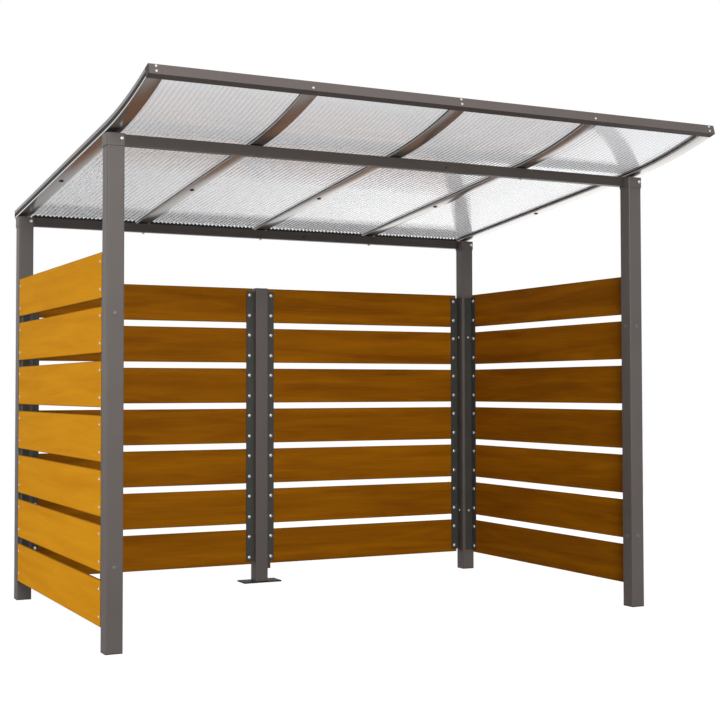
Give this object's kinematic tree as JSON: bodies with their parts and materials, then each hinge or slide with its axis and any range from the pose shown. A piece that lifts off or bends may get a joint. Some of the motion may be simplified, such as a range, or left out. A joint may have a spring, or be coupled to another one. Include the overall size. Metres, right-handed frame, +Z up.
{
  "type": "bin shelter",
  "caption": "Open-fronted shelter for wheeled bins: painted steel frame, boarded sides and rear, and a clear roof that sweeps up to a fascia at the front.",
  "frame": {"origin": "on the ground, at the middle of the plan: half way across the width, and half way between the front edge of the fascia and the rear edge of the centre foot plate", "axes": "+X to the right along the open front as seen from in front, +Y from the open front to the rear wall, +Z up"},
  "size_m": [2.9668, 2.4494, 2.4874],
  "materials": {
    "frame_paint": "satin powder coat",
    "brackets": "satin powder coat",
    "boards": "satin clear finish",
    "sheet": "gloss",
    "seal": "matt",
    "plastic_caps": "matt"
  },
  "bodies": {
    "root": {"front_left_post": "frame_paint", "front_right_post": "frame_paint", "rear_left_post": "frame_paint", "rear_right_post": "frame_paint", "front_left_foot": "plastic_caps", "front_right_foot": "plastic_caps", "rear_left_foot": "plastic_caps", "rear_right_foot": "plastic_caps", "front_left_head": "frame_paint", "front_right_head": "frame_paint", "rear_left_head": "frame_paint", "rear_right_head": "frame_paint", "centre_post": "frame_paint", "centre_post_cap": "plastic_caps", "centre_foot_plate": "frame_paint", "left_wall_boards": "boards", "right_wall_boards": "boards", "rear_left_boards": "boards", "rear_right_boards": "boards", "left_wall_front_bracket": "brackets", "left_wall_rear_bracket": "brackets", "right_wall_front_bracket": "brackets", "right_wall_rear_bracket": "brackets", "rear_left_corner_bracket": "brackets", "rear_left_centre_bracket": "brackets", "rear_right_centre_bracket": "brackets", "rear_right_corner_bracket": "brackets", "front_beam": "frame_paint", "rear_beam": "frame_paint", "left_edge_rafter": "frame_paint", "left_rafter": "frame_paint", "centre_rafter": "frame_paint", "right_rafter": "frame_paint", "right_edge_rafter": "frame_paint", "rafter_seals": "seal", "edge_seals": "seal", "left_outer_sheet": "sheet", "left_inner_sheet": "sheet", "right_inner_sheet": "sheet", "right_outer_sheet": "sheet", "cover_strips": "frame_paint", "edge_trims": "frame_paint", "fascia": "frame_paint", "fascia_end_caps": "plastic_caps"}
  },
  "joints": []
}
